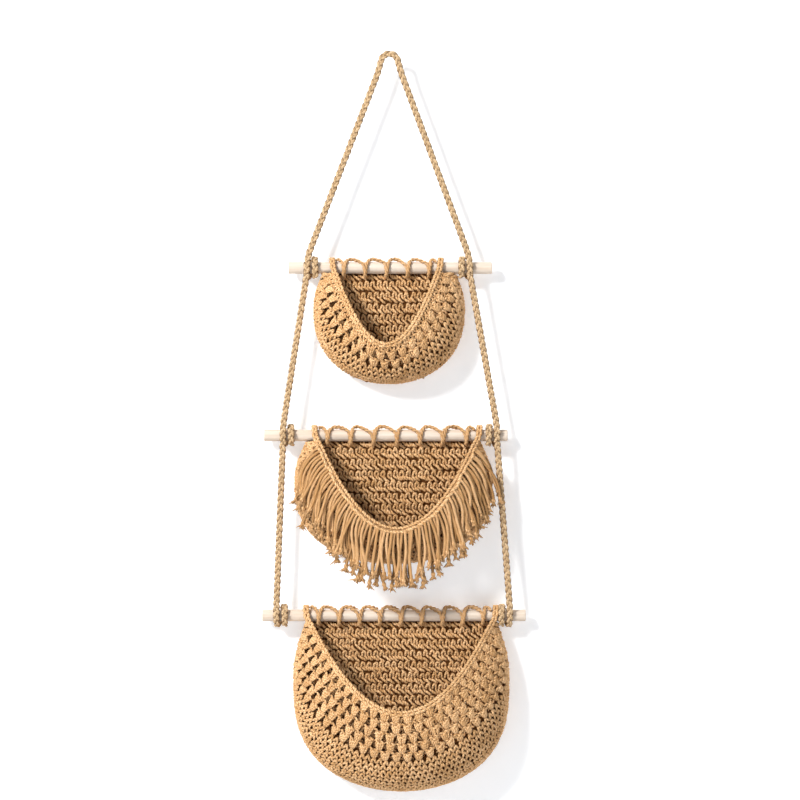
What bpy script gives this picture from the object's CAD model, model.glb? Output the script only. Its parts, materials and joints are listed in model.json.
import json
import math
from collections import namedtuple

import bpy
import numpy as np
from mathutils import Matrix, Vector


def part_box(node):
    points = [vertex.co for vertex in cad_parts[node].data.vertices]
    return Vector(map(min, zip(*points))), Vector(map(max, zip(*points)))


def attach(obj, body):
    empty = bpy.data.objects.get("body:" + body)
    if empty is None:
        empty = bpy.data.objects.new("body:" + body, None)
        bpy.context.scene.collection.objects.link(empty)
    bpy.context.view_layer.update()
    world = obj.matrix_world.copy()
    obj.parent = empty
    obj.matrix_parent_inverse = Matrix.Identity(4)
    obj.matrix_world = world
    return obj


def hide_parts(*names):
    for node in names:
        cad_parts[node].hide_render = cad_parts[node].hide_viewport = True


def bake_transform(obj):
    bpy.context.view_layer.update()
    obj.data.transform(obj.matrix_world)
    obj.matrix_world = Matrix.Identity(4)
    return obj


# Hanging fruit basket: three crocheted pockets on wooden dowels, hung on one plaited rope.
# Metres, +Z up, +X to the viewer's right, the front faces -Y.

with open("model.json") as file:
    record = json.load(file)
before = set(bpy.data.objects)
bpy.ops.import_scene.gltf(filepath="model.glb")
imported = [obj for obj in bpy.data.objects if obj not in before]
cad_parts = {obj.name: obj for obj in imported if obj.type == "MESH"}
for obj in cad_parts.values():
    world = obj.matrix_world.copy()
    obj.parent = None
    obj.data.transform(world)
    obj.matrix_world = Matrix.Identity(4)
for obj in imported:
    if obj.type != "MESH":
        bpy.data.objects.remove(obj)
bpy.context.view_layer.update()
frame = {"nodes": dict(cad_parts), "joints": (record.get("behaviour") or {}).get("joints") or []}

rng = np.random.default_rng(20)

FRONT = np.array([0.0, -1.0, 0.0])
# Up for cords that run any way over the front: never quite along one
NEARLY_FRONT = FRONT + 1e-3

# Sizes. A YARN is a strand's radius, a LAY the length in which its plies turn once.
YARN_SIDES = 6
YARN_LAY = 0.0105

ROPE_WIDTH = 0.009
PLAIT_WIDTH = ROPE_WIDTH + 0.0004
PLAIT_LENGTH = 0.026
PLAIT_POINTS = 16
PLAIT_YARN = 0.0021
PLAIT_LAY = 0.006
# How far a strand of the plait rises over the others, and its lift there, in yarn radii
PLAIT_RISE = 0.74
PLAIT_LIFT = 1.7

STITCH = 0.0080
ROW = 0.0082
STITCH_YARN = 0.00172

OPEN_CELL = 0.0152
OPEN_ROW = 0.0130
OPEN_YARN = 0.00150

PANEL_STITCH = 0.0083
PANEL_PAIR = 0.0152
PANEL_YARN = 0.00155

EDGE_LINK = 0.0078
EDGE_HALF = 0.0043
EDGE_YARN = 0.0021

LACING_YARN = 0.0024
LACING_PLIES = {"lay": 0.0125, "count": 2, "spread": 0.54}

FRINGE_YARN = 0.0024
FRINGE_LENGTH = 0.066

# The baskets' forms, as shares of their own width, height and bulge
FULL_WIDTH_SHARE = 0.32
FULL_DEPTH_SHARE = 0.55
NECK_WIDTH_SHARE = 0.885
NECK_DEPTH_SHARE = 0.42
TOE_SHARE = 0.02
DEPTH_POWER = 2.2
# How far the drawn surface lies inside the solid's, so that the stitches end level with it
INSET = 0.0020

Basket = namedtuple(
    "Basket",
    "name body width height bulge middle mouth_half mouth_drop mouth_middle power turns open_rows rim_rows",
)
BASKETS = (
    Basket("top", "top_basket", 0.204, 0.157, 0.062, -0.0005, 0.070, 0.104, -0.004, 2.4, 5, 2, 1),
    Basket("middle", "middle_basket", 0.266, 0.173, 0.078, 0.005, 0.108, 0.121, 0.010, 2.7, 7, 0, 1),
    Basket("bottom", "bottom_basket", 0.291, 0.236, 0.095, 0.016, 0.1245, 0.119, 0.0155, 3.0, 9, 5, 0),
)
SIDE_NAMES = (("left", -1), ("right", 1))


# Lines


def unit(v):
    """Each row of v at length one."""
    return v / np.maximum(np.linalg.norm(v, axis=-1, keepdims=True), 1e-12)


def distances(line):
    """How far along a line each of its points lies."""
    return np.concatenate([[0], np.cumsum(np.linalg.norm(np.diff(line, axis=0), axis=1))])


def sample(places, run, values):
    """The rows of values, which stand at run along a line, read at other places along it."""
    return np.stack([np.interp(places, run, values[:, c]) for c in range(values.shape[1])], axis=-1)


def axes(line, up):
    """Each point's directions sideways and outwards, square to the line; up isn't along it."""
    along = unit(np.gradient(line, axis=0))
    side = unit(np.cross(along, up))
    return side, np.cross(side, along)


def smooth(points, rounds):
    """Eases a line's corners and keeps its ends."""
    points = points.copy()
    for _ in range(rounds):
        points[1:-1] = points[:-2] * 0.25 + points[1:-1] * 0.5 + points[2:] * 0.25
    return points


def straight(start, end, step=0.003):
    start, end = np.array(start), np.array(end)
    count = max(int(np.linalg.norm(end - start) / step), 2)
    return start + (end - start) * np.linspace(0, 1, count + 1)[:, None]


def round_dowel(axis, x, radius, forward, upward):
    """Points round a dowel's axis and the ways out there, from the shares forward and upward."""
    points = np.stack([x, axis.y - radius * forward, axis.z + radius * upward], axis=-1)
    return points, np.stack([np.zeros(len(x)), -forward, upward], axis=-1)


# Yarn meshes


def add_object(name, data):
    obj = bpy.data.objects.new(name, data)
    bpy.context.scene.collection.objects.link(obj)
    return obj


class Yarn:
    """Gathers tubes of yarn, all of four-sided faces, and makes one mesh of them.
    Twist draws the plies, tone differs from strand to strand, and lift, in yarn radii, is how far a point
    stands out of the work: deep ones are darker."""

    # How much a tube's own roundness counts in its lift, and what is taken off it
    ROUND_LIFT = 1.5
    LIFT_DROP = 0.35
    # Lift of a skin's front and back
    SKIN_LIFT = (-2.0, -0.6)

    def __init__(self):
        self.verts = []
        self.faces = []
        self.twists = []
        self.tones = []
        self.lifts = []
        self.count = 0

    def add(self, verts, faces, twist, tone, lift):
        self.verts.append(verts)
        self.faces.append(faces + self.count)
        self.twists.append(twist)
        self.lifts.append(lift)
        self.tones.append(np.broadcast_to(tone, faces.shape).astype(float))
        self.count += len(verts)

    def tube(self, line, radius, up, sides=YARN_SIDES, tone=0.5, lay=YARN_LAY, rise=1.0, under=None):
        """A tube along a line; up isn't along it; rise is how high each point lies, in yarn radii.
        Where the other face shows too, under is how high each point lies seen from there."""
        n = len(line)
        side, out = axes(line, up)
        angle = np.arange(sides) * 2 * math.pi / sides
        high = np.sin(angle)[None, :]
        radius = np.broadcast_to(radius, (n,))[:, None, None]
        ring = np.cos(angle)[None, :, None] * side[:, None, :] + high[..., None] * out[:, None, :]
        verts = (line[:, None, :] + ring * radius).reshape(-1, 3)
        lift = np.broadcast_to(rise, (n,))[:, None] + self.ROUND_LIFT * high - self.LIFT_DROP
        if under is not None:
            behind = np.broadcast_to(under, (n,))[:, None] - self.ROUND_LIFT * high - self.LIFT_DROP
            lift = np.where(high < -0.01, behind, lift)
        i = np.arange(n - 1)[:, None] * sides
        j = np.arange(sides)[None, :]
        k = (j + 1) % sides
        faces = np.stack([i + j, i + k, i + k + sides, i + j + sides], axis=-1).reshape(-1, 4)
        run = distances(line) / lay
        a = run[:-1, None] + j / sides
        b = run[1:, None] + j / sides
        twist = np.stack([a, a + 1 / sides, b + 1 / sides, b], axis=-1).reshape(-1, 4)
        ends = []
        for s in range(1, sides - 2, 2):
            ends.append([0, s + 2, s + 1, s])
            ends.append([(n - 1) * sides + q for q in (0, s, s + 1, s + 2)])
        faces = np.concatenate([faces, np.array(ends)])
        twist = np.concatenate([twist, np.zeros((len(ends), 4))])
        self.add(verts, faces, twist, tone, lift.reshape(-1))

    def sheet(self, grid, normals, thickness):
        """A closed dark skin of one thickness behind a grid of points."""
        rows, cols = grid.shape[:2]
        front = grid.reshape(-1, 3)
        back = (grid - normals * thickness).reshape(-1, 3)
        i = np.arange(rows - 1)[:, None] * cols
        j = np.arange(cols - 1)[None, :]
        quads = np.stack([i + j, i + j + 1, i + j + 1 + cols, i + j + cols], axis=-1).reshape(-1, 4)
        m = rows * cols
        edge = list(range(cols)) + [cols * r + cols - 1 for r in range(1, rows)]
        edge += list(range(m - 2, m - cols - 1, -1)) + [cols * r for r in range(rows - 2, 0, -1)]
        walls = np.array([[b, a, a + m, b + m] for a, b in zip(edge, edge[1:] + edge[:1])])
        faces = np.concatenate([quads, quads[:, ::-1] + m, walls])
        lift = np.repeat(self.SKIN_LIFT, m)
        self.add(np.concatenate([front, back]), faces, np.zeros(faces.shape), 0.1, lift)

    def make(self, name, material, body, slot):
        faces = np.concatenate(self.faces)
        mesh = bpy.data.meshes.new(name)
        mesh.from_pydata(np.concatenate(self.verts), [], faces)
        for label, domain, values in (
            ("twist", "CORNER", self.twists), ("tone", "CORNER", self.tones), ("lift", "POINT", self.lifts)
        ):
            data = mesh.attributes.new(label, "FLOAT", domain)
            data.data.foreach_set("value", np.concatenate(values).reshape(-1).astype(np.float32))
        mesh.polygons.foreach_set("use_smooth", np.ones(len(faces), bool))
        mesh.materials.append(material)
        obj = add_object(name, mesh)
        if body:
            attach(obj, body)
        return obj


# One loop of a chain: links along, half widths across, yarn radii out
CHAIN_LOOP = np.array(
    [
        (-0.10, 0.16, -0.75), (0.18, 0.62, -0.10), (0.50, 1.00, 0.42), (0.82, 1.02, 0.60), (1.06, 0.66, 0.62),
        (1.20, 0.0, 0.50), (1.06, -0.66, 0.62), (0.82, -1.02, 0.60), (0.50, -1.00, 0.42), (0.18, -0.62, -0.10),
        (-0.10, -0.16, -0.75),
    ]
)


def chain(yarn, points, up, link, half, radius):
    """A chain of loops, each pulled through the last, on a strand that weaves behind them;
    up is the side that shows the loops' Vs."""
    run = distances(points)
    side, out = axes(points, up)
    count = max(int(round(run[-1] / link)), 1)
    size = run[-1] / count

    def at(s, x, n):
        place = np.clip(s * size, 0, run[-1])
        base, across, high = (sample(place, run, values) for values in (points, side, out))
        return base + across * x[:, None] + high * n[:, None], high

    s, x, n = CHAIN_LOOP.T
    x, n = x * (half - radius), n * radius
    for i in range(count):
        wob = rng.normal(0, 0.05, 3)
        line, high = at(i + s + wob[0] * 0.3, x * (1 + wob[1]), n * (1 + wob[2]))
        thick = radius * (1 + wob[1] * 0.6)
        yarn.tube(line, thick, high, tone=rng.uniform(0.3, 0.9), rise=n / radius * 1.6, under=0.5)
    steps = np.arange(0, count * 4 + 1) / 4
    weave = np.sin(steps * 2 * math.pi) * (half - radius) * 0.35
    line, high = at(steps, weave, np.full(len(steps), -radius * 0.85))
    yarn.tube(line, radius * 1.05, high, tone=0.35, rise=-0.5)


def plait(yarn, points, up):
    """The rope's three strands plaited flat along a line; up is the side that faces outwards."""
    run = distances(points)
    places = np.linspace(0, run[-1], max(int(run[-1] / (PLAIT_LENGTH / PLAIT_POINTS)), 8))
    base = sample(places, run, points)
    side, high = axes(base, unit(sample(places, run, up)))
    start = rng.uniform(0, 2 * math.pi)
    drift = np.cumsum(rng.normal(0, 0.03, len(places)))
    for k in range(3):
        angle = places / PLAIT_LENGTH * 2 * math.pi + k * 2 * math.pi / 3 + start + drift
        x = np.sin(angle) * (PLAIT_WIDTH / 2 - PLAIT_YARN)
        n = np.sin(2 * angle) * PLAIT_YARN * PLAIT_RISE
        line = base + side * x[:, None] + high * n[:, None]
        over = PLAIT_LIFT * np.sin(2 * angle)
        tone = 0.5 + 0.14 * (k - 1)
        yarn.tube(line, PLAIT_YARN, high, tone=tone, lay=PLAIT_LAY, rise=over - 0.1, under=-0.1 - over)


def plies(yarn, line, radius, tone, lay=0.0085, up=NEARLY_FRONT, rise=0.75, count=3, spread=0.48):
    """Plies twisted round each other along a line; spread is how far from it they lie, in radii."""
    run = distances(line)
    side, out = axes(line, up)
    begin = rng.uniform(0, 6)
    for k in range(count):
        angle = (run / lay * 2 * math.pi + begin + k * 2 * math.pi / count)[:, None]
        path = line + (side * np.cos(angle) + out * np.sin(angle)) * radius * spread
        over = 0.7 * np.sin(angle[:, 0])
        yarn.tube(
            path, radius * (1.04 - spread), up, sides=5, tone=tone + rng.normal(0, 0.06), lay=0.004,
            rise=rise + over, under=rise - over,
        )


# A tuft's knot: places along it and the yarn's radius there; and the radius along a fibre
KNOT = np.array([(-0.0024, 0.0012), (-0.0012, 0.0023), (0.0010, 0.0023), (0.0024, 0.0012)])
FIBRE = np.array([0.0011, 0.0011, 0.0009, 0.0004])
FIBRES = 14


def tuft(yarn, point, way):
    """A knot and the frayed fibres below it."""
    side = unit(np.cross(way, FRONT)[None])[0]
    front = np.cross(side, way)
    shade = rng.uniform(0.1, 0.6)
    along = KNOT[:, :1]
    for tilt in (0.9, -0.9):
        line = point + way * along * 0.9 + side * along * tilt - front * 0.0007 * tilt
        yarn.tube(line, KNOT[:, 1], NEARLY_FRONT, tone=shade, rise=0.7)
    t = np.linspace(0, 1, len(FIBRE))[:, None]
    for _ in range(FIBRES):
        spread = side * rng.normal(0, 0.50) + front * rng.normal(0, 0.38)
        reach = rng.uniform(0.0045, 0.0085)
        line = point + way * 0.001 + way * reach * t + spread * reach * t**1.4
        yarn.tube(line, FIBRE, NEARLY_FRONT, sides=4, tone=shade, rise=0.6)


# Basket surfaces


def fullness(share, start, power):
    """1 above start, closing to 0 at the lowest row."""
    t = np.clip((share - start) / (1 - start), 0, 1)
    return np.sqrt(np.maximum(1 - t**power, 0))


def opening_out(share, full, neck):
    """From the neck's share at the dowel to 1 at full."""
    return neck + (1 - neck) * np.sin(math.pi / 2 * np.clip(share / full, 0, 1))


class Surface:
    """The pocket's surface, measured from its rim: along is 0 at the left end and 1 at the right."""

    # Lines from the rim to the seam, points along each while it is built, and along rim and outline
    LINES = 321
    SAMPLES = 160
    EDGE_SAMPLES = 400
    # Between the grid's points along a line
    STEP = 0.001
    # What the surface keeps from the dowel's underside
    TOP_GAP = 0.0008
    # How the samples crowd towards the dowel, and towards the seam where the surface turns fastest
    TOP_CROWDING = 0.8
    SEAM_CROWDING = 2.2

    def __init__(self, basket):
        self.b = basket = basket._replace(height=basket.height - INSET)
        low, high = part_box(f"{basket.name}_dowel")
        self.axis = (low + high) / 2
        self.dowel_r = (high.z - low.z) / 2
        top = self.dowel_r + self.TOP_GAP
        shares = np.linspace(0, 1, self.EDGE_SAMPLES) ** self.TOP_CROWDING
        drops = top + (basket.height - top) * shares
        right = np.stack([self.half_width(drops), drops], axis=-1)
        loop = np.concatenate([right * (-1, 1), right[::-1]])
        loop[:, 0] += basket.middle
        self.outline = self.spread(loop)
        x = np.linspace(-1, 1, self.EDGE_SAMPLES)
        drops = np.maximum(basket.mouth_drop * (1 - x**2), top)
        rim = self.spread(np.stack([basket.mouth_middle + basket.mouth_half * x, drops], axis=-1))
        q = 1 - (1 - np.linspace(0, 1, self.SAMPLES)[None, :, None]) ** self.SEAM_CROWDING
        solid = self.lift(rim[:, None, :] * (1 - q) + self.outline[:, None, :] * q)
        runs = np.array([distances(line) for line in solid])
        self.length = runs[:, -1]
        places = np.arange(0, self.length.max() + 2 * self.STEP, self.STEP)
        self.grid = np.array([sample(places, run, line) for run, line in zip(runs, solid)])
        normal = np.cross(np.gradient(self.grid, axis=0), np.gradient(self.grid, axis=1))
        normal = np.where(normal[..., 1:2] > 0, -normal, normal)
        for i in range(self.LINES):
            last = int(self.length[i] / self.STEP) - 1
            normal[i, last:] = normal[i, last]
        self.normal = unit(normal)
        self.us = np.linspace(0, 1, self.LINES)

    def spread(self, line):
        """A line's points, evenly spaced."""
        run = distances(line)
        return sample(np.linspace(0, run[-1], self.LINES), run, line)

    def share(self, drop):
        return np.clip((drop - self.dowel_r) / (self.b.height - self.dowel_r), 0, 1)

    def half_width(self, drop):
        share = self.share(drop)
        full = opening_out(share, FULL_WIDTH_SHARE, NECK_WIDTH_SHARE)
        close = fullness(share, FULL_WIDTH_SHARE, self.b.power)
        return (self.b.width / 2 - INSET) * np.maximum(full * close, TOE_SHARE)

    def half_width_at(self, drop):
        return float(self.half_width(np.array([drop]))[0])

    def depth(self, drop):
        share = self.share(drop)
        full = opening_out(share, FULL_DEPTH_SHARE, NECK_DEPTH_SHARE)
        close = fullness(share, FULL_DEPTH_SHARE, DEPTH_POWER)
        return (self.b.bulge - INSET) * np.maximum(full * close, TOE_SHARE)

    def lift(self, flat):
        """Places seen from the front, put on the pocket's surface."""
        x, drop = flat[..., 0], flat[..., 1]
        side = np.clip((x - self.b.middle) / self.half_width(drop), -1, 1)
        y = self.axis.y - self.depth(drop) * np.sqrt(1 - side**2)
        return np.stack([x, y, self.axis.z - drop], axis=-1)

    def at(self, u, d, n):
        """Points at along u, d below the rim and n out of the surface, with the surface's normals."""
        u = np.clip(u, 0, 1) * (self.LINES - 1)
        d = np.clip(d / self.STEP, 0, self.grid.shape[1] - 1.001)
        i = np.minimum(u.astype(int), self.LINES - 2)
        j = d.astype(int)
        fu = (u - i)[..., None]
        fd = (d - j)[..., None]

        def mix(table):
            near = table[i, j] * (1 - fu) * (1 - fd) + table[i + 1, j] * fu * (1 - fd)
            return near + table[i, j + 1] * (1 - fu) * fd + table[i + 1, j + 1] * fu * fd

        normal = unit(mix(self.normal))
        return mix(self.grid) + normal * np.asarray(n)[..., None], normal


class Row:
    """One row of stitches on a pocket, near below its rim, or near before its seam."""

    # A row is left out where its middle comes closer than this to the rim or the seam, in row heights
    RIM_ROOM = 0.45
    SEAM_ROOM = 0.3
    LEAST_LINES = 4

    def __init__(self, surface, near, height, cell, from_seam=False, shift=0.0):
        self.surface = surface
        self.height = height
        self.from_seam = from_seam
        self.shift = shift
        self.cells = 0
        reach = surface.length
        if from_seam:
            self.near = reach - near
            middle, last = self.near - height / 2, reach
        else:
            self.near = np.full(len(reach), near)
            middle, last = self.near + height / 2, reach - height * self.SEAM_ROOM
        ids = np.nonzero((middle > height * self.RIM_ROOM) & (middle < last))[0]
        if len(ids) < self.LEAST_LINES:
            return
        kept = slice(ids[0], ids[-1] + 1)
        self.us = surface.us[kept]
        line, _ = surface.at(self.us, middle[kept], np.zeros(len(self.us)))
        run = distances(line)
        self.cells = int(round(run[-1] / cell))
        self.run = run / run[-1] * self.cells

    def at(self, s, t, n):
        """Points at s cells along, t of a row up towards the rim and n out."""
        u = np.interp(np.clip(s + self.shift, 0, self.cells), self.run, self.us)
        near = np.interp(u, self.surface.us, self.near)
        far = -self.height * t if self.from_seam else self.height * (1 - t)
        return self.surface.at(u, near + far, n)


# Stitches

# One stitch's yarn: share along the cell, share up the row, height in yarn radii
PEAKS = np.array(
    [
        (0.00, -0.04, -0.7), (0.12, 0.16, 0.5), (0.26, 0.52, 1.1), (0.42, 0.90, 0.9),
        (0.50, 1.02, 0.2), (0.58, 0.90, 0.9), (0.74, 0.52, 1.1), (0.88, 0.16, 0.5),
    ]
)
UNDER = np.array([(0.0, 0.10, 0.2), (0.25, -0.02, 0.7), (0.5, 0.06, 0.9), (0.75, 0.16, 0.4)])
INNER = np.array([(0.0, 0.42, 0.2), (0.28, 0.66, 1.25), (0.56, 0.60, 1.25), (0.80, 0.34, 0.5)])
# The bar over a row of openwork, two to a cell
BAR = np.array([(0.0, 0.98, -0.2), (0.22, 1.08, 1.3), (0.5, 1.02, 1.5), (0.78, 0.86, 0.9)])
# The panel's, by pairs of rows: loops in the lower one, slanted bars in the upper one
LOOPS = np.array(
    [
        (0.10, -0.05, -0.6), (0.12, 0.10, 0.7), (0.18, 0.30, 1.2), (0.35, 0.47, 1.35),
        (0.56, 0.43, 1.1), (0.66, 0.26, 0.9), (0.64, 0.08, 0.5), (0.74, -0.06, -0.7),
    ]
)
SLANTS = np.array(
    [
        (0.02, 1.00, -0.6), (0.14, 0.90, 0.8), (0.36, 0.77, 1.35), (0.58, 0.67, 1.35),
        (0.78, 0.58, 0.8), (0.92, 0.62, -0.7),
    ]
)
# Each line of a pair: pattern, middle up the pair, shift along in cells, shift up, added height, yarn's share
PANEL_LINES = (
    (LOOPS, 0.25, 0.0, 0.0, 0.0, 1.12),
    (SLANTS, 0.8, 0.0, 0.0, 0.0, 1.08),
    (SLANTS, 0.8, 0.46, 0.15, -0.35, 1.0),
)
# Posts of an openwork cluster: foot and head along the cell, height in the middle
POSTS = ((0.10, 0.33, 1.2), (-0.10, -0.33, 1.2), (0.035, 0.12, 1.65), (-0.035, -0.12, 1.65))
# Along a post: share up the row, share of its height
POST = np.array([(-0.16, -0.9), (0.06, 0.4), (0.34, 1.0), (0.66, 1.15), (0.90, 0.7), (1.04, -0.5)])
# The lump on top of a cluster: along, up, height in yarn radii, lift
LUMP = np.array(
    [
        (-0.36, 0.60, 0.0, -0.4), (-0.22, 0.70, 1.6, 0.8), (0.0, 0.80, 2.2, 1.2), (0.20, 0.88, 1.6, 0.8),
        (0.34, 0.98, 0.0, -0.4),
    ]
)


# Scatter of a stitch's points along, up and out, and of a whole stitch
ALONG_SCATTER, UP_SCATTER, OUT_SCATTER = 0.026, 0.035, 0.12
STITCH_SCATTER = 0.05


def repeat(pattern, cells):
    """A stitch's points along a whole row, each a little uneven."""

    def uneven(values, scatter):
        values = values + rng.normal(0, scatter, len(values))
        return values + np.repeat(rng.normal(0, STITCH_SCATTER, cells), len(pattern))

    s = uneven((np.arange(cells)[:, None] + pattern[None, :, 0]).reshape(-1), ALONG_SCATTER)
    t = uneven(np.tile(pattern[:, 1], cells), UP_SCATTER)
    rise = np.tile(pattern[:, 2], cells)
    return s, t, rise + rng.normal(0, OUT_SCATTER, len(rise))


def lay_row(yarn, line, normal, radius, rise, per_cell, cells):
    """Lays a row's yarn in one tube; its tone drifts along the row and it swells where it shows."""
    drift = 0.5 + 0.16 * np.sin(np.arange(cells) * 0.7 + rng.uniform(0, 6)) + rng.normal(0, 0.14, cells)
    yarn.tube(line, radius * (0.86 + 0.16 * np.clip(rise, 0, 1)), normal, rise=rise)
    tones = np.repeat(drift, per_cell * YARN_SIDES)[: (len(line) - 1) * YARN_SIDES]
    yarn.tones[-1][: len(tones)] = np.clip(tones, 0, 1)[:, None]


def solid_row(yarn, row):
    """Single crochet: a line of peaks over the gaps of the row below, with a thin strand sunk between."""
    if row.cells < 1:
        return
    for pattern, share, sink in ((PEAKS, 1.0, 0.0), (UNDER, 0.62, 0.9)):
        s, t, rise = repeat(pattern, row.cells)
        rise = rise - sink
        line, normal = row.at(s, t * 1.04, rise * STITCH_YARN)
        lay_row(yarn, line, normal, STITCH_YARN * share, rise, len(pattern), row.cells)


def open_row(yarn, row):
    """Clusters of posts that fan out from one foot, with holes between them, under a lumpy chain."""
    if row.cells < 1:
        return
    r = OPEN_YARN
    t, rise = POST.T
    for i in range(row.cells + 1):
        shade = rng.uniform(0.3, 0.8)
        for foot, head, out in POSTS:
            wob = rng.normal(0, 0.022, 3)
            s = i + foot + (head - foot) * np.clip(t, 0, 1) ** 0.8 + wob[0]
            line, normal = row.at(s, t + wob[1], rise * out * r)
            yarn.tube(
                line, r * (1 + wob[2]) * (0.9 + 0.2 * np.clip(rise, 0, 1)), normal,
                tone=np.clip(shade + rng.normal(0, 0.12), 0, 1), rise=rise * out * 1.6 - 1.5, under=0.5,
            )
        wob = rng.normal(0, 0.03, 2)
        along, up, high, lift = LUMP.T
        line, normal = row.at(i + along + wob[0], up + wob[1], high * r)
        yarn.tube(line, r * 0.92, normal, tone=np.clip(shade + 0.15, 0, 1), rise=lift)
    s, t, rise = repeat(BAR, row.cells * 2)
    line, normal = row.at(s / 2, 1 + (t - 1) * 0.8, rise * r)
    lay_row(yarn, line, normal, r * 0.95, rise, len(BAR), row.cells * 2)


# Materials


class Nodes:
    """The node tree of a material or world, which takes new nodes with what feeds them."""

    def __init__(self, owner):
        owner.use_nodes = True
        self.tree = owner.node_tree

    def feed(self, node, inputs):
        """Links an input where a node's output is given for it, and sets it where a value is."""
        for key, value in inputs.items():
            if isinstance(value, bpy.types.NodeSocket):
                self.tree.links.new(value, node.inputs[key])
            else:
                node.inputs[key].default_value = value

    def add(self, kind, output, inputs=None, **settings):
        """Adds a node and gives its named output."""
        node = self.tree.nodes.new(f"ShaderNode{kind}")
        for key, value in settings.items():
            setattr(node, key, value)
        self.feed(node, inputs or {})
        return node.outputs[output]

    def calc(self, operation, *values):
        return self.add("Math", "Value", dict(enumerate(values)), operation=operation)

    def mix(self, factor, a, b, blend="MIX"):
        inputs = {"Factor": factor, "A": a, "B": b}
        return self.add("Mix", "Result", inputs, data_type="RGBA", blend_type=blend)

    def bump(self, height, strength, distance):
        return self.add("Bump", "Normal", {"Height": height, "Strength": strength, "Distance": distance})


def new_material(name):
    material = bpy.data.materials.new(name)
    nodes = Nodes(material)
    return material, nodes, nodes.tree.nodes["Principled BSDF"]


PLIES_DRAWN = 3.0
PLY_GROOVE = (0.68, 0.54, 0.38, 1)
DEEP_COLOUR = (0.105, 0.040, 0.010, 1)
DEEP_LIFT, OPEN_LIFT = -1.2, 1.7


def cord_material(name, light, dark):
    """Twisted cotton: plies from the twist, fibres and fuzz from noise, tone from strand to strand,
    and a deeper colour between the stitches from the lift."""
    material, nodes, shader = new_material(name)
    twist, tone, lift = (
        nodes.add("Attribute", "Fac", attribute_name=label) for label in ("twist", "tone", "lift")
    )
    place = nodes.add("TexCoord", "Object")
    fibre = nodes.add("TexNoise", "Fac", {"Vector": place, "Scale": 900.0, "Detail": 4.0})
    blotch = nodes.add("TexNoise", "Fac", {"Vector": place, "Scale": 55.0, "Detail": 3.0})
    wave = nodes.calc("COSINE", nodes.calc("MULTIPLY", twist, PLIES_DRAWN * 2 * math.pi))
    groove = nodes.add("MapRange", "Result", {"Value": wave, "From Min": -1.0, "From Max": 0.3})
    lightness = nodes.calc("MULTIPLY_ADD", blotch, 0.45, nodes.calc("MULTIPLY", tone, 0.75))
    colour = nodes.mix(lightness, (*dark, 1), (*light, 1))
    colour = nodes.mix(nodes.calc("SUBTRACT", 1.0, groove), colour, PLY_GROOVE, "MULTIPLY")
    shown = nodes.add(
        "MapRange", "Result", {"Value": lift, "From Min": DEEP_LIFT, "From Max": OPEN_LIFT},
        interpolation_type="SMOOTHSTEP",
    )
    height = nodes.calc("MULTIPLY_ADD", fibre, 0.25, groove)
    nodes.feed(shader, {
        "Base Color": nodes.mix(shown, DEEP_COLOUR, colour),
        "Normal": nodes.bump(height, 0.6, 0.0006),
        "Roughness": 0.88,
        "Sheen Weight": 0.04,
        "Specular IOR Level": 0.08,
    })
    return material


GRAIN_SCALE = (6.0, 160.0, 160.0)
GRAIN_COLOURS = ((0.34, (0.68, 0.56, 0.45, 1)), (0.62, (0.76, 0.67, 0.575, 1)))


def wood_material():
    """Bare pale wood with fine grain along X and a few darker flecks."""
    material, nodes, shader = new_material("pale_wood")
    place = nodes.add("Mapping", "Vector", {"Vector": nodes.add("TexCoord", "Object"), "Scale": GRAIN_SCALE})
    grain = nodes.add("TexNoise", "Fac", {"Vector": place, "Scale": 2.2, "Detail": 6.0, "Roughness": 0.6})
    colour = nodes.add("ValToRGB", "Color", {"Fac": grain})
    for stop, (position, shade) in zip(colour.node.color_ramp.elements, GRAIN_COLOURS):
        stop.position, stop.color = position, shade
    nodes.feed(shader, {
        "Base Color": colour,
        "Normal": nodes.bump(grain, 0.25, 0.0003),
        "Roughness": 0.62,
        "Specular IOR Level": 0.3,
    })
    return material


def paint_material(name, colour, shine):
    """A pale backdrop that takes the object's shadow; it is clear from behind and lets lamps through."""
    material, nodes, shader = new_material(name)
    seen = nodes.add("LightPath", "Is Camera Ray")
    nodes.feed(shader, {
        "Base Color": (*colour, 1),
        "Roughness": 0.95,
        "Specular IOR Level": 0.0,
        "Emission Color": (0.97, 0.98, 1.0, 1),
        "Emission Strength": nodes.calc("MULTIPLY", seen, shine),
    })
    behind = nodes.add("NewGeometry", "Backfacing")
    clear = nodes.calc("MAXIMUM", behind, nodes.add("LightPath", "Is Shadow Ray"))
    shaders = {"Fac": clear, 1: shader.outputs["BSDF"], 2: nodes.add("BsdfTransparent", "BSDF")}
    nodes.feed(nodes.tree.nodes["Material Output"], {"Surface": nodes.add("MixShader", "Shader", shaders)})
    return material


CORD = cord_material("tan_cord", (0.96, 0.66, 0.38), (0.54, 0.29, 0.10))
ROPE = cord_material("rope_cord", (0.91, 0.71, 0.47), (0.36, 0.23, 0.11))
WOOD = wood_material()


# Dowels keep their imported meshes

for basket in BASKETS:
    dowel = frame["nodes"][f"{basket.name}_dowel"]
    dowel.data.materials.clear()
    dowel.data.materials.append(WOOD)


# Ropes

# The way round a dowel's end, from the front and downwards
HITCH_TURN = np.radians(np.arange(0, 441, 9))
# The arc over the hook, and how far its centre lies below the height of 0
CROWN_ARC = np.radians(np.arange(160, 19, -5))
CROWN_DROP = 0.007
# Half the length of rope that bends at the hook
# A stretch aims at a point above its crossing of the dowel; nearer than PLUMB it runs upright,
# and the next stretch starts that far below the crossing
AIM_ABOVE = 0.012
PLUMB = 0.009


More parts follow.
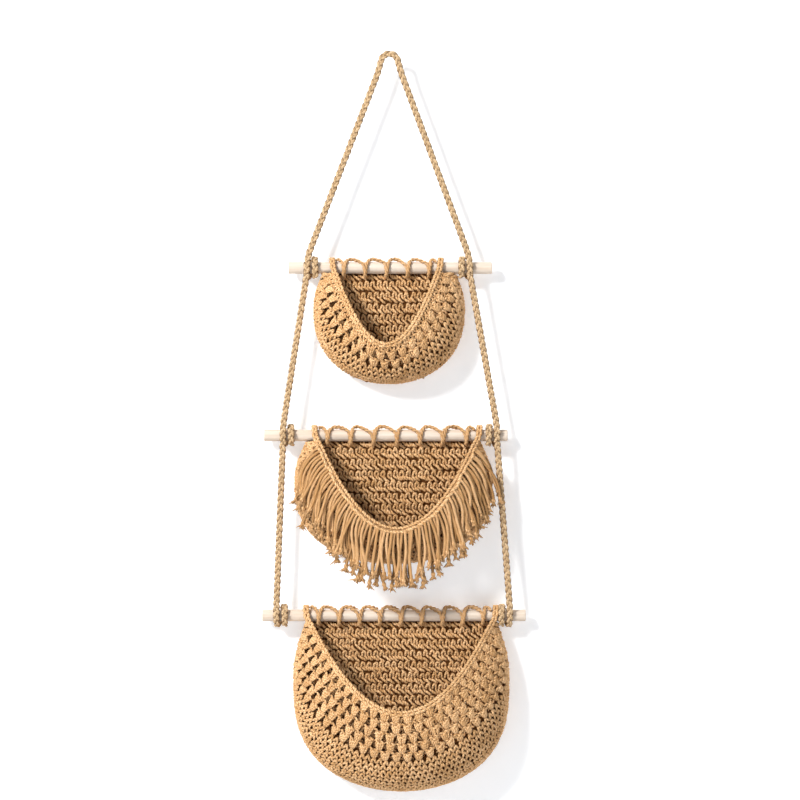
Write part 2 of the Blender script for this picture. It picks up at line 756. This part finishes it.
def hitch_line(basket, side_name, side):
    """The rope's extra turn round a dowel, with the ways out of it, and the point where it starts in front."""
    low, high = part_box(f"{basket.name}_hitch_{side_name}")
    dowel_low, dowel_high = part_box(f"{basket.name}_dowel")
    axis = (dowel_low + dowel_high) / 2
    radius = axis.y - low.y - ROPE_WIDTH / 2
    outer = (low.x if side < 0 else high.x) - side * ROPE_WIDTH / 2
    pitch = high.x - low.x - ROPE_WIDTH
    turn = np.clip(HITCH_TURN / (2 * math.pi), 0, 1)
    x = outer - side * pitch * (turn - np.sin(2 * math.pi * turn) / (2 * math.pi))
    points, ups = round_dowel(axis, x, radius, np.cos(HITCH_TURN), -np.sin(HITCH_TURN))
    return points, ups, np.array([outer, axis.y - radius, axis.z])


hitches = {
    (basket.name, side_name): hitch_line(basket, side_name, side)
    for basket in BASKETS
    for side_name, side in SIDE_NAMES
}


def lead_and_wrap(start, key):
    """A stretch's line from where it starts to the end of its turn round the dowel below."""
    wrap, wrap_ups, crossing = hitches[key]
    run = straight(start, crossing + (0, 0, AIM_ABOVE))
    lead = np.concatenate([run, straight(crossing + (0, 0, PLUMB), crossing)[1:-1]])
    return smooth(lead, 8), wrap, wrap_ups


def rope_piece(name, body, points, ups, nodes):
    yarn = Yarn()
    plait(yarn, points, ups)
    piece = yarn.make(name, ROPE, body, "plaited_rope")
    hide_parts(*nodes)
    return piece


def make_rope_over_hook():
    """The bight and both upper stretches with their hitches, in one mesh that bends at the hook."""
    hinge = next(j for j in frame["joints"] if j["name"] == "hanger_swing")
    hinge_z = hinge["pos_m"][2]
    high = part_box("hanger_bight")[1]
    half = high.x - ROPE_WIDTH / 2
    crown = high.z - ROPE_WIDTH / 2 + CROWN_DROP
    level = np.zeros(len(CROWN_ARC))
    bight = np.stack([crown * np.cos(CROWN_ARC), level, crown * np.sin(CROWN_ARC) - CROWN_DROP], axis=-1)
    lines, ways = [], []
    for side_name, side in SIDE_NAMES:
        joint = np.array([side * half, 0, hinge_z])
        lead, wrap, wrap_ups = lead_and_wrap(joint, (BASKETS[0].name, side_name))
        bend = straight(bight[0 if side < 0 else -1], joint)[1:]
        free = smooth(np.concatenate([bend, lead[1:]]), 6)
        lines.append(np.concatenate([free, wrap]))
        ways.append(np.concatenate([np.broadcast_to(FRONT, free.shape), wrap_ups]))
    points = np.concatenate([lines[0][::-1], bight, lines[1]])
    ups = np.concatenate([ways[0][::-1], np.broadcast_to(FRONT, bight.shape), ways[1]])
    nodes = ["hanger_bight", "upper_rope_left", "upper_rope_right", "top_hitch_left", "top_hitch_right"]
    piece = rope_piece("rope_over_hook", None, points, ups, nodes)
    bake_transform(piece)


def make_stretch(stretch, above, below, side_name):
    """One stretch of rope between two dowels, with its hitch on the lower one."""
    start = hitches[(above.name, side_name)][2] - (0, 0, PLUMB)
    lead, wrap, wrap_ups = lead_and_wrap(start, (below.name, side_name))
    rope_piece(
        f"{stretch}_rope_{side_name}_cord", f"{below.name}_tier", np.concatenate([lead, wrap]),
        np.concatenate([np.broadcast_to(FRONT, lead.shape), wrap_ups]),
        [f"{stretch}_rope_{side_name}", f"{below.name}_hitch_{side_name}"],
    )


make_rope_over_hook()
for stretch, above, below in (("middle", BASKETS[0], BASKETS[1]), ("lower", BASKETS[1], BASKETS[2])):
    for side_name, _ in SIDE_NAMES:
        make_stretch(stretch, above, below, side_name)


# Pockets


def basket_piece(yarn, basket, label, slot, *nodes):
    """Makes a basket's piece of tan cord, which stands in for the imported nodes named."""
    piece = yarn.make(f"{basket.name}_{label}", CORD, basket.body, slot)
    if nodes:
        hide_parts(*(f"{basket.name}_{node}" for node in nodes))


# From the rim to the first row, and how many rows follow the seam instead of the rim
RIM_GAP = 0.003
SEAM_ROWS = 3
# The skin behind the dense rows: mesh, depth, thickness, reach into the openwork from above and below,
# and least height
SKIN_LINES = 161
SKIN_STEPS = 30
SKIN_DEPTH = 0.0009
SKIN_THICKNESS = 0.0014
SKIN_PAST_EDGE = 0.002
SKIN_BEFORE_ROWS = 0.001
SKIN_LEAST = 0.004
# The inside's rows lie this deep
INSIDE_DEPTH = 0.0016


def make_pocket(basket, surface):
    """The front pocket: a firm edge, a band of openwork where the basket has one, and dense rows below."""
    solid, openwork, inside = Yarn(), Yarn(), Yarn()
    edge = basket.rim_rows * ROW
    for k in range(basket.rim_rows):
        solid_row(solid, Row(surface, k * ROW + RIM_GAP, ROW, STITCH))
    for k in range(basket.open_rows):
        shift = 0.5 * (k % 2)
        open_row(openwork, Row(surface, edge + RIM_GAP + k * OPEN_ROW, OPEN_ROW, OPEN_CELL, shift=shift))
    start = edge + RIM_GAP + basket.open_rows * OPEN_ROW
    longest = surface.length.max()
    k = 0
    while start + k * ROW < longest - SEAM_ROWS * ROW:
        solid_row(solid, Row(surface, start + k * ROW, ROW, STITCH, shift=0.5 * (k % 2)))
        k += 1
    for k in range(SEAM_ROWS):
        solid_row(solid, Row(surface, k * ROW, ROW, STITCH, from_seam=True, shift=0.5 * (k % 2)))

    bands = [(0.0, np.inf)]
    if basket.open_rows:
        bands = [(0.0, edge + SKIN_PAST_EDGE), (start - SKIN_BEFORE_ROWS, np.inf)]
    us = np.linspace(0, 1, SKIN_LINES)
    reach = np.interp(us, surface.us, surface.length)
    for first, last in bands:
        near = np.minimum(first, reach - SKIN_LEAST)
        far = np.minimum(last, reach)
        d = near[:, None] + (far - near)[:, None] * np.linspace(0, 1, SKIN_STEPS)[None, :]
        u = np.broadcast_to(us[:, None], d.shape)
        grid, normals = surface.at(u, d, np.full(d.shape, -SKIN_DEPTH))
        solid.sheet(grid, normals, SKIN_THICKNESS)
    basket_piece(solid, basket, "pocket_stitches", "crochet", "front_pocket")

    for near in (*np.arange(RIM_GAP, edge, ROW), *np.arange(start, longest, ROW)):
        row = Row(surface, near, ROW, STITCH)
        if row.cells < 1:
            continue
        s, t, rise = repeat(INNER, row.cells)
        line, normal = row.at(s, t, -INSIDE_DEPTH - rise * STITCH_YARN * 0.6)
        inside.tube(line, STITCH_YARN * 1.15, -normal, sides=5, tone=rng.uniform(0.3, 0.7), rise=rise)
    basket_piece(inside, basket, "pocket_inside", "crochet")
    if basket.open_rows:
        basket_piece(openwork, basket, "pocket_openwork", "crochet")


# Rims, panels and seams

# The rim's chain: how far below the rim and out of the surface it runs
RIM_BELOW = 0.0015
RIM_PROUD = 0.0022
# Its ends' way over the dowel, from the front: degrees, gap to the dowel, sideways lean
HANGER_TURN = np.radians(np.arange(-10, 226, 6))
HANGER_GAP = 0.0036
HANGER_LEAN = 0.0015


def make_rim(basket, surface):
    """The mouth's chain edge, whose ends go on over the dowel and down behind it."""
    us = np.linspace(0, 1, 200)
    line, normals = surface.at(us, np.full(len(us), RIM_BELOW), np.full(len(us), RIM_PROUD))
    radius = surface.dowel_r + HANGER_GAP
    hangers = []
    for end, side in ((0, -1), (-1, 1)):
        x = line[end][0] + side * HANGER_LEAN * np.sin(HANGER_TURN)
        hangers.append(round_dowel(surface.axis, x, radius, np.cos(HANGER_TURN), np.sin(HANGER_TURN)))
    (left, left_ups), (right, right_ups) = hangers
    points = smooth(np.concatenate([left[::-1], line[2:-2], right]), 4)
    ups = unit(smooth(np.concatenate([left_ups[::-1], normals[2:-2], right_ups]), 8))
    yarn = Yarn()
    chain(yarn, points, ups, EDGE_LINK, EDGE_HALF, EDGE_YARN)
    basket_piece(yarn, basket, "rim_chain", "edge_cord", "rim_border", "rim_loops")


# The panel: gap below the dowel, what its rows keep from the outline at the sides and the bottom,
# how far its yarn lies out of its middle, and how far the yarn may stand above its pair and its top
PANEL_GAP = 0.002
PANEL_SIDE_ROOM = 0.002
PANEL_TOE_ROOM = 0.003
PANEL_OUT = 0.0005
PANEL_HIGHEST = 1.06
PANEL_OVER = 0.0008
# Its skin: mesh, place and thickness
PANEL_SKIN = (60, 40)
PANEL_SKIN_TOP = 0.003
PANEL_SKIN_TOE = 0.001
PANEL_SKIN_SIDE = 0.0015
PANEL_SKIN_OUT = 0.0006
PANEL_SKIN_THICKNESS = 0.0012


def make_panel(basket, surface):
    """The back panel: level rows of dense stitches, the same on both faces."""
    low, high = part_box(f"{basket.name}_back_panel")
    y = (low.y + high.y) / 2
    top = surface.axis.z - surface.dowel_r - PANEL_GAP
    pairs = int((top - (surface.axis.z - basket.height)) / PANEL_PAIR) + 1
    for face, label, nodes in ((-1, "panel_front", ["back_panel"]), (1, "panel_back", [])):
        yarn = Yarn()
        for k in range(pairs):
            foot = top - (k + 1) * PANEL_PAIR
            for pattern, middle, shift, up, rise_by, share in PANEL_LINES:
                drop = surface.axis.z - (foot + PANEL_PAIR * middle)
                if drop > basket.height - PANEL_TOE_ROOM:
                    continue
                half = surface.half_width_at(drop) - PANEL_SIDE_ROOM
                cells = int(2 * half / PANEL_STITCH)
                if cells < 2:
                    continue
                s, t, rise = repeat(pattern, cells)
                rise = rise + rise_by
                x = basket.middle + ((s + shift) * -face / cells * 2 + face) * half
                z = foot + np.minimum(t + up, PANEL_HIGHEST) * PANEL_PAIR
                out = face * (PANEL_OUT + rise * PANEL_YARN)
                points = np.stack([x, y + out, np.minimum(z, top + PANEL_OVER)], axis=-1)
                lay_row(yarn, points, -face * FRONT, PANEL_YARN * share, rise, len(pattern), cells)
        if face < 0:
            drops = np.linspace(
                surface.axis.z - top - PANEL_SKIN_TOP, basket.height - PANEL_SKIN_TOE, PANEL_SKIN[0]
            )
            halves = surface.half_width(drops) - PANEL_SKIN_SIDE
            x = basket.middle + halves[:, None] * np.linspace(-1, 1, PANEL_SKIN[1])[None, :]
            z = np.broadcast_to((surface.axis.z - drops)[:, None], PANEL_SKIN)
            grid = np.stack([x, np.full(PANEL_SKIN, y - PANEL_SKIN_OUT), z], axis=-1)
            yarn.sheet(grid, FRONT, PANEL_SKIN_THICKNESS)
        basket_piece(yarn, basket, label, "crochet", *nodes)


# The seam: how far in its chain lies, its size against the rim's, and how far above its solid it starts
SEAM_INSET = 0.0006
SEAM_HALF_SHARE = 0.75
SEAM_YARN_SHARE = 0.82
SEAM_OVER = 0.004
# The fold inside it: how far in its front edge, its bend and its hem lie, how far the front edge lies
# before the dowel's axis and the rest behind the panel's front
FOLD_INSETS = (0.0012, 0.0012, 0.0060)
FOLD_BEFORE = 0.0040
FOLD_BEHIND = 0.0016
FOLD_THICKNESS = 0.0012


def make_seam(basket, surface):
    """The chain that joins panel and pocket round the sides and bottom, and the fold inside it."""
    low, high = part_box(f"{basket.name}_side_seam")
    flat = surface.outline
    y = (low.y + high.y) / 2
    line = np.stack([flat[:, 0], np.full(len(flat), y), surface.axis.z - flat[:, 1]], axis=-1)
    outward = np.cross(unit(np.gradient(line, axis=0)), -FRONT)
    middle = np.array([basket.middle, y, surface.axis.z - basket.height / 2])
    inwards = np.sum(outward * (line - middle), axis=1, keepdims=True) < 0
    outward = np.where(inwards, -outward, outward)
    shown = line[:, 2] < high.z + SEAM_OVER
    yarn = Yarn()
    chain(
        yarn, line[shown] - outward[shown] * SEAM_INSET, outward[shown],
        EDGE_LINK, EDGE_HALF * SEAM_HALF_SHARE, EDGE_YARN * SEAM_YARN_SHARE,
    )
    fold = np.stack([line - outward * inset for inset in FOLD_INSETS], axis=1)
    fold[:, 0, 1] = surface.axis.y - FOLD_BEFORE
    fold[:, 1:, 1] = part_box(f"{basket.name}_back_panel")[0].y + FOLD_BEHIND
    yarn.sheet(fold, outward[:, None, :], FOLD_THICKNESS)
    basket_piece(yarn, basket, "seam_chain", "crochet", "side_seam")


# Lacing

# One stitch: share of the way to the next hole, degrees round the dowel from below, lift in mm
LACING = np.array(
    [
        (0.00, -30, 0.5), (0.01, 15, 0.7), (0.025, 50, 0.6), (0.04, 85, 0.4), (0.065, 118, 0.4),
        (0.12, 145, 0.7), (0.23, 165, 1.2), (0.38, 170, 1.2), (0.52, 160, 0.9), (0.66, 145, 0.6),
        (0.79, 130, 0.5), (0.90, 115, 0.5), (0.965, 85, 0.7), (0.99, 30, 0.7),
    ]
)
LACING_STEPS = 54
# Between the cord's middle and the dowel, in yarn radii
LACING_OFF = 0.95
# The part of a stitch that meets the rim's loops: from the first share at the left end, to the second at
# the right end
LACING_ENDS = (0.17, 0.79)
# How unevenly it lies: sideways in metres, degrees round the dowel, lift in mm
LACING_SWAY = 0.0016
LACING_TURN = 6
LACING_LIFT = 0.6
# The wrap over each hole: its start and its ends in front and behind in degrees, its yarn's share,
# its sideways lean, and its swell over the panel's edge
WRAP_START = -40
WRAP_ENDS = ((1, 150), (-1, 120))
WRAP_SHARE = 1.2
WRAP_LEAN = 0.003
WRAP_SWELL, SWELL_AT, SWELL_WIDTH = 0.9, 25, 40


def make_lacing(basket, surface):
    """Two cords, one before the dowel and one behind it, that cross in the panel's top edge at every hole,
    and a wrap over each crossing."""
    reach = 2 * basket.mouth_half / (basket.turns + 1) * basket.turns - 0.001
    pitch = reach / (basket.turns - 1)
    first = basket.mouth_middle - reach / 2
    gap = basket.mouth_half - reach / 2
    at = np.arange(len(LACING)) / (len(LACING) - 1)
    stitch = sample(np.linspace(0, 1, LACING_STEPS, endpoint=False), at, LACING)
    share, turned, lift = stitch.T
    bend = np.sin(math.pi * share)
    yarn = Yarn()
    for face in (1, -1):
        runs = [(stitch * (gap, 1, 1) + (first - gap, 0, 0))[share > LACING_ENDS[0]]]
        for k in range(basket.turns - 1):
            wob = rng.normal(0, 1, 4)
            x = first + pitch * (k + share) + LACING_SWAY * wob[0] * bend
            degrees = turned + LACING_TURN * wob[1] * np.sin(2 * math.pi * share + wob[3])
            runs.append(np.stack([x, degrees, lift + LACING_LIFT * bend * abs(wob[2])], axis=-1))
        runs.append((stitch * (gap, 1, 1) + (first + reach, 0, 0))[share < LACING_ENDS[1]])
        x, degrees, lifted = np.concatenate(runs).T
        radius = surface.dowel_r + LACING_YARN * LACING_OFF + lifted / 1000
        angle = np.radians(degrees)
        points, ups = round_dowel(surface.axis, x, radius, face * np.sin(angle), -np.cos(angle))
        plies(yarn, smooth(points, 3), LACING_YARN, tone=0.55, up=ups, **LACING_PLIES)
    for hole in first + pitch * np.arange(basket.turns):
        for face, end in WRAP_ENDS:
            angle = np.radians(np.arange(WRAP_START, end, 10))
            swell = WRAP_SWELL * np.exp(-((np.degrees(angle) - SWELL_AT) / SWELL_WIDTH) ** 2)
            radius = surface.dowel_r + LACING_YARN * (1.0 + swell)
            x = hole - 0.0002 + rng.normal(0, 0.0006) + WRAP_LEAN * np.clip(angle / 2.6, 0, 1) ** 3
            points, ups = round_dowel(surface.axis, x, radius, face * np.sin(angle), -np.cos(angle))
            plies(yarn, points, LACING_YARN * WRAP_SHARE, tone=0.45, up=ups, **LACING_PLIES)
    basket_piece(yarn, basket, "lacing_cord", "edge_cord", "lacing")


# Fringe

FringeLayer = namedtuple("FringeLayer", "count ends below_rim proud rise tones")
LOWER_FRINGE = FringeLayer(46, 0.055, 0.0125, 0.0032, -0.5, (0.0, 0.2))
UPPER_FRINGE = FringeLayer(70, 0.045, 0.0025, 0.0058, 0.5, (0.05, 0.70))
FRINGE_STEP = 0.0024
# How soon a cord turns plumb below the rim, and how it drifts and sways on its way down
FRINGE_TURN = 0.026
FRINGE_DRIFT = 0.10
FRINGE_SWAY = 0.24
FRINGE_WAVES = 75
# How far the cords hang off the pocket, more by layer, and how fast they may come back to it
FRINGE_OFF = 0.0052
FRINGE_LAYER = 0.0026
FRINGE_RETURN = 0.10
# The loop of a cord over the rim: half its width, and along it how far out it lies
FRINGE_LOOP_HALF = 0.0036
FRINGE_LOOP_OUT = np.array([[-0.0012], [0.0016], [0.0018], [-0.0010]])
FRINGE_LOOP_YARN = 0.00185


def fringe_line(basket, surface, point, lead, level):
    """A cord's line from the rim along lead, then down over the pocket; level is how far out it lies."""
    length = FRINGE_LENGTH * rng.uniform(0.84, 1.03)
    drift = rng.normal(0, FRINGE_DRIFT)
    swing = rng.uniform(0.0, 6.0)
    off = FRINGE_OFF + level * FRINGE_LAYER + rng.uniform(0, 0.0014)
    points = [point]
    travelled = 0.0
    while travelled < length:
        keep = math.exp(-travelled / FRINGE_TURN)
        sway = drift + FRINGE_SWAY * math.sin(travelled * FRINGE_WAVES + swing)
        way = lead * keep + np.array([sway, 0, -1.0]) * (1 - keep)
        way[1] = 0
        x, y, z = point + way / np.linalg.norm(way) * FRINGE_STEP
        travelled += FRINGE_STEP
        drop = surface.axis.z - z
        if drop < basket.height and abs(x - basket.middle) < surface.half_width_at(drop):
            wall = float(surface.lift(np.array([x, drop]))[1]) - off
        else:
            wall = surface.axis.y
        point = np.array([x, min(wall, y + FRINGE_STEP * FRINGE_RETURN), z])
        points.append(point)
    return smooth(np.array(points), 3)


def make_fringe(basket, surface):
    """Single cords looped on the rim, parting from it and then hanging plumb over the pocket."""
    yarn = Yarn()
    for layer in (LOWER_FRINGE, UPPER_FRINGE):
        for i, u in enumerate(np.linspace(layer.ends, 1 - layer.ends, layer.count)):
            u = np.array([u + rng.normal(0, 0.002)])
            proud = np.array([layer.proud])
            start, normal = surface.at(u, np.array([layer.below_rim]), proud)
            below, _ = surface.at(u, np.array([layer.below_rim + 0.010]), proud)
            lead = unit(below - start)[0]
            upper = layer is UPPER_FRINGE
            line = fringe_line(basket, surface, start[0], lead, i % 2 if upper else -1)
            plies(yarn, line, FRINGE_YARN, rng.uniform(*layer.tones), rise=layer.rise)
            if upper:
                across = np.array([lead[2], 0, -lead[0]]) * FRINGE_LOOP_HALF
                over = line[0] + across * np.array([[-1.0], [-0.5], [0.5], [1.0]])
                over = over + normal[0] * FRINGE_LOOP_OUT + lead * (0.0012 + rng.normal(0, 0.0008))
                rise = np.array([0.0, 1.1, 1.1, 0.0])
                yarn.tube(over, FRINGE_LOOP_YARN, normal[0], tone=rng.uniform(0.5, 1.0), rise=rise)
            tuft(yarn, line[-1], unit(line[-1] - line[-4]))
    basket_piece(yarn, basket, "fringe_strands", "fringe_cord", "fringe")


for basket in BASKETS:
    surface = Surface(basket)
    make_pocket(basket, surface)
    make_rim(basket, surface)
    make_panel(basket, surface)
    make_seam(basket, surface)
    make_lacing(basket, surface)
    if basket.name == "middle":
        make_fringe(basket, surface)


# Wall, floor, lights and camera

WALL_Y = 0.032
WALL_TOP = 2.5
FLOOR_Z = -1.35
FLOOR_FRONT, FLOOR_BACK = -5, 4
ROOM_HALF = 3
MIDDLE = (0.0142, 0.0, -0.463)
AMBIENT = 0.36
WARM_WHITE = (1.0, 0.985, 0.96)
# Name, place, size, power and colour of each lamp
LAMPS = (
    ("key", (-2.17, -2.83, 1.38), 0.81, 184, WARM_WHITE),
    ("fill", (1.8, -2.6, -0.2), 2.0, 5, (1, 1, 1)),
    ("back", (1.4, 2.4, 0.7), 1.2, 80, WARM_WHITE),
)


def backdrop(name, near, far, material):
    """A sheet across the room between two edges, each given by its y and z."""
    corners = [(-ROOM_HALF, *near), (ROOM_HALF, *near), (ROOM_HALF, *far), (-ROOM_HALF, *far)]
    mesh = bpy.data.meshes.new(name)
    mesh.from_pydata(corners, [], [(0, 1, 2, 3)])
    mesh.materials.append(material)
    add_object(name, mesh)


wall_paint = paint_material("wall_paint", (0.865, 0.89, 0.92), 0.31)
floor_paint = paint_material("floor_paint", (0.66, 0.66, 0.67), 0.66)
backdrop("wall", (WALL_Y, FLOOR_Z), (WALL_Y, WALL_TOP), wall_paint)
backdrop("floor", (FLOOR_FRONT, FLOOR_Z), (FLOOR_BACK, FLOOR_Z), floor_paint)

# White where the camera sees it, dimmer as a light
world = bpy.data.worlds.new("studio")
sky = Nodes(world)
level = {"Value": sky.add("LightPath", "Is Camera Ray"), "To Min": AMBIENT, "To Max": 1.0}
sky.feed(
    sky.tree.nodes["Background"],
    {"Color": (1.0, 1.0, 1.0, 1), "Strength": sky.add("MapRange", "Result", level)},
)
bpy.context.scene.world = world

for name, place, size, power, colour in LAMPS:
    light = bpy.data.lights.new(name, "AREA")
    light.shape = "DISK"
    light.size = size
    light.energy = power
    light.color = colour
    lamp = add_object(name, light)
    lamp.location = place
    lamp.rotation_euler = (Vector(MIDDLE) - Vector(place)).to_track_quat("-Z", "Y").to_euler()

camera = bpy.data.cameras.new("camera")
camera.lens = 100.0
camera.sensor_width = 36.0
view = add_object("camera", camera)
view.location = (MIDDLE[0], -3.0, MIDDLE[2])
view.rotation_euler = (math.pi / 2, 0, 0)
bpy.context.scene.camera = view
bpy.context.scene.view_settings.view_transform = "Standard"
